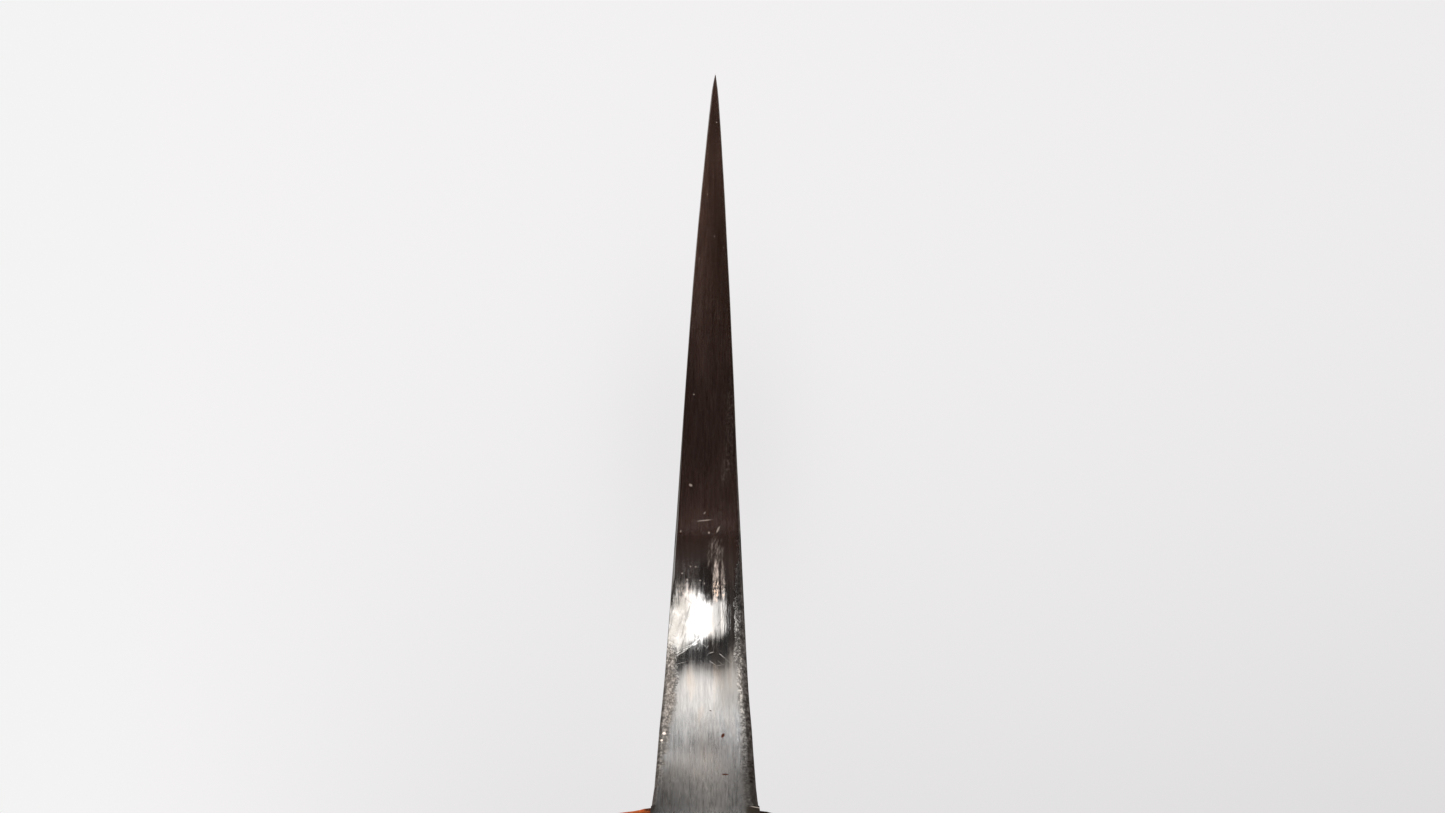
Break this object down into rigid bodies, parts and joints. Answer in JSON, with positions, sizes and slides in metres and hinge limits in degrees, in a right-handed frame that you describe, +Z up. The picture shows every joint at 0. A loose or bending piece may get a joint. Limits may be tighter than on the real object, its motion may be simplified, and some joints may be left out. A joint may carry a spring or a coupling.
{
  "type": "boning knife",
  "caption": "Triangular-bladed boning knife with a stout spine, a rounded choil and neck, and flush wooden scales riveted on a full tang.",
  "frame": {"origin": "on the spine's flat, in the knife's middle plane, directly above the front end of the handle scales", "axes": "+X along the knife from the handle to the tip, +Z up out of the spine with the cutting edge down, +Y to the knife's left"},
  "size_m": [0.278, 0.017, 0.041],
  "materials": {
    "blade_steel": "ground and polished heel and faces, lengthwise brushed neck and spine",
    "scale_wood": "oiled orange-brown hardwood with darker streaks",
    "rivet_metal": "ground flush and polished"
  },
  "bodies": {
    "root": {"blade_and_tang": "blade_steel", "scale_left": "scale_wood", "scale_right": "scale_wood", "front_rivet_tubed_half": "rivet_metal", "front_rivet_pinned_half": "rivet_metal", "middle_rivet_tubed_half": "rivet_metal", "middle_rivet_pinned_half": "rivet_metal", "rear_rivet_tubed_half": "rivet_metal", "rear_rivet_pinned_half": "rivet_metal"}
  },
  "joints": []
}
